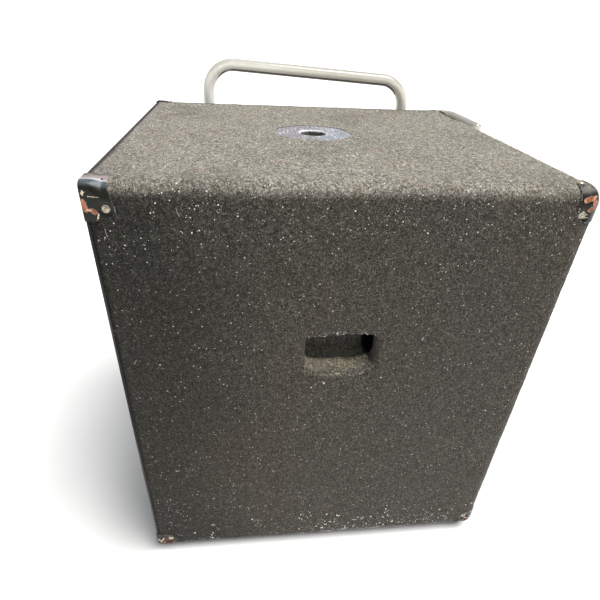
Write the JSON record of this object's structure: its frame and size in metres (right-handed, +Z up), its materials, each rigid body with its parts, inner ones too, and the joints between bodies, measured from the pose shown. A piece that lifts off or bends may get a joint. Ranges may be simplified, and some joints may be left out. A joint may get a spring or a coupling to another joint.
{
  "type": "subwoofer",
  "caption": "Carpet-covered stage subwoofer with rounded edges, steel corners, hand slots, a top pole socket and a cream tube handle.",
  "frame": {"origin": "centre of the bounding box on the floor plane, under the rubber feet", "axes": "+Z up; -Y the grille side; +X the right-hand side seen from the front, with the plain hand slot; -X the side with the tube handle"},
  "size_m": [0.5228, 0.567, 0.6807],
  "materials": {
    "carpet": "needle-punched carpet, matt",
    "plywood": "bare birch plywood",
    "painted_board": "black paint on plywood",
    "protector_steel": "black gloss paint, worn to bare and rusty metal",
    "grille_steel": "black powder coat",
    "plate_steel": "worn zinc plate",
    "handle_paint": "cream gloss paint",
    "clamp_steel": "black paint",
    "black_plastic": "moulded, fine grain",
    "rubber": "matt",
    "foam": "open-cell foam",
    "cone_paper": "treated paper",
    "spider_cloth": "resin-treated cloth",
    "copper": "enamelled copper wire",
    "aluminium": "plain",
    "motor_steel": "zinc plate",
    "ferrite": "matt grey ceramic",
    "board": "phenolic board",
    "capacitor": "shrink sleeve",
    "lead": "flexible jacket",
    "wadding": "polyester wadding"
  },
  "bodies": {
    "cabinet": {"baffle": "painted_board", "basket": "grille_steel", "bottom_panel": "plywood", "capacitor": "capacitor", "carpet_covering": "carpet", "connector_plate": "black_plastic", "corner_front_bottom_left": "protector_steel", "corner_front_bottom_right": "protector_steel", "corner_front_top_left": "protector_steel", "corner_front_top_right": "protector_steel", "corner_rear_bottom_left": "protector_steel", "corner_rear_bottom_right": "protector_steel", "corner_rear_top_left": "protector_steel", "corner_rear_top_right": "protector_steel", "cross_brace": "plywood", "crossover_board": "board", "driver_bolt_1": "motor_steel", "driver_bolt_2": "motor_steel", "driver_bolt_3": "motor_steel", "driver_bolt_4": "motor_steel", "driver_lead": "lead", "foot_front_left": "rubber", "foot_front_right": "rubber", "foot_rear_left": "rubber", "foot_rear_right": "rubber", "gasket": "rubber", "grille": "grille_steel", "grille_foam": "foam", "hand_cup_left": "black_plastic", "hand_cup_right": "black_plastic", "handle_clamp_front_lower": "clamp_steel", "handle_clamp_front_upper": "clamp_steel", "handle_clamp_rear_lower": "clamp_steel", "handle_clamp_rear_upper": "clamp_steel", "handle_stay": "handle_paint", "handle_tube": "handle_paint", "inductor": "copper", "input_lead": "lead", "input_socket_left": "black_plastic", "input_socket_right": "black_plastic", "magnet_ring": "ferrite", "pole_piece": "motor_steel", "pole_socket": "plate_steel", "port_tube_left": "black_plastic", "port_tube_right": "black_plastic", "rear_panel": "plywood", "side_panel_left": "plywood", "side_panel_right": "plywood", "spider": "spider_cloth", "stay_cap": "handle_paint", "stay_clamp": "handle_paint", "surround": "rubber", "terminal_strip": "board", "top_panel": "plywood", "top_plate": "motor_steel", "wadding": "wadding"},
    "cone_assembly": {"cone": "cone_paper", "dust_cap": "cone_paper", "former": "aluminium", "voice_coil": "copper"}
  },
  "joints": [
    {"name": "cone_travel", "type": "slide", "parent": "cabinet", "child": "cone_assembly", "axis": [0, -1, 0], "range_m": [-0.008, 0.008], "stiffness_N_per_m": 6000, "deforming": ["surround", "spider"]}
  ]
}
